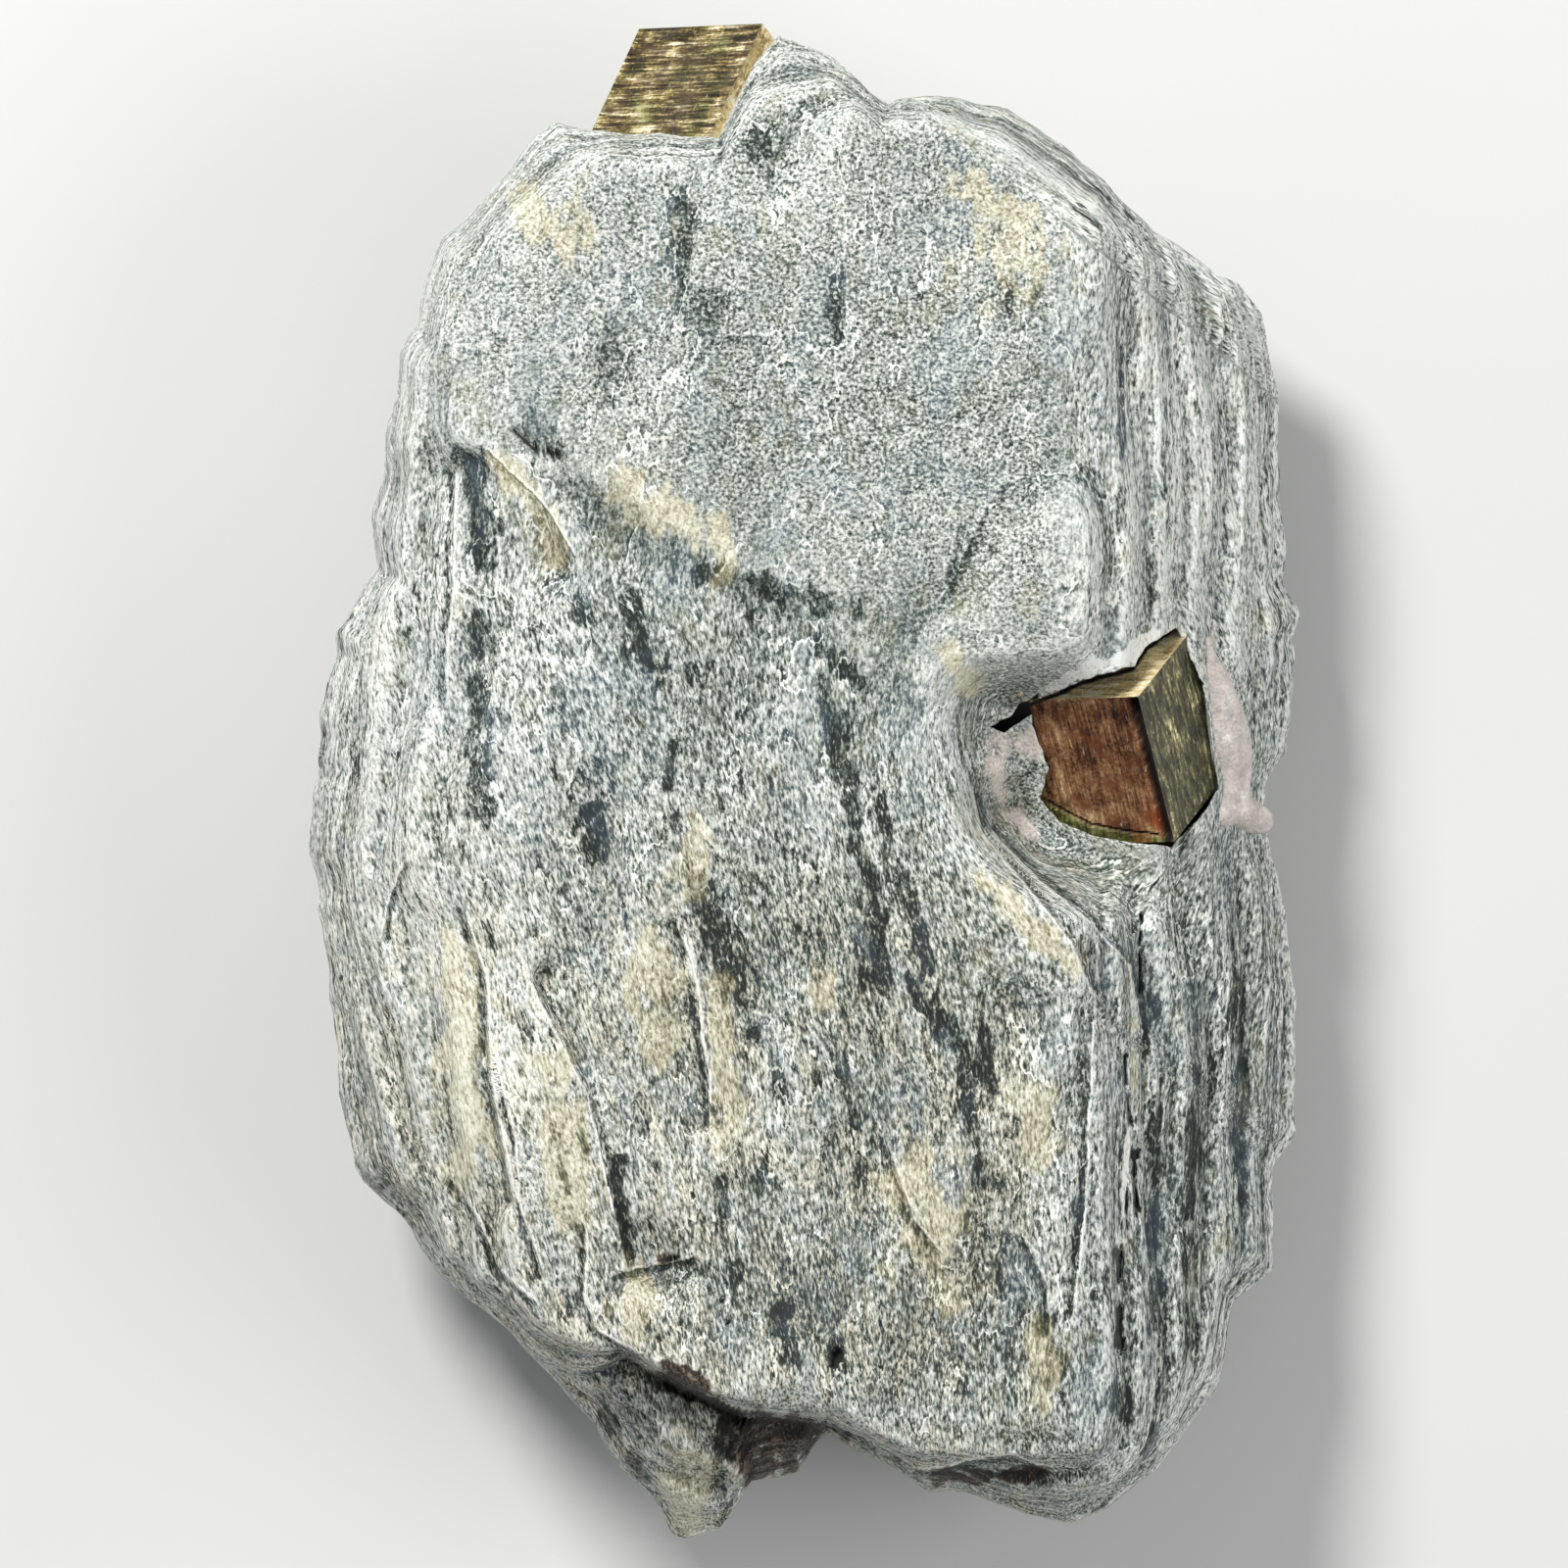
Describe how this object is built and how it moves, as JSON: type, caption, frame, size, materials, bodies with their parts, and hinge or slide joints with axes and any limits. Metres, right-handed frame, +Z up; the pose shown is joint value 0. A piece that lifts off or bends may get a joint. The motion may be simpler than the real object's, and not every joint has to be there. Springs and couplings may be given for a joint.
{
  "type": "pyrite in schist specimen",
  "caption": "Hand specimen of foliated grey-green schist that holds brassy pyrite cubes in its top edge and in a socket in its right side.",
  "frame": {"origin": "centre of the footprint of the whole specimen, on the surface it lies on", "axes": "+Z up, out of the face that the picture shows; +Y along the specimen, towards the end with the upper crystal; +X to the right as seen in the picture"},
  "size_m": [0.0628, 0.0951, 0.0311],
  "materials": {
    "schist": "rough broken stone with a silky sheen",
    "pyrite": "metallic, striated, with brown and olive tarnish",
    "quartz": "dull, pinkish white"
  },
  "bodies": {
    "root": {"schist": "schist", "pyrite_side": "pyrite", "pyrite_top": "pyrite", "quartz_fringe": "quartz"}
  },
  "joints": []
}
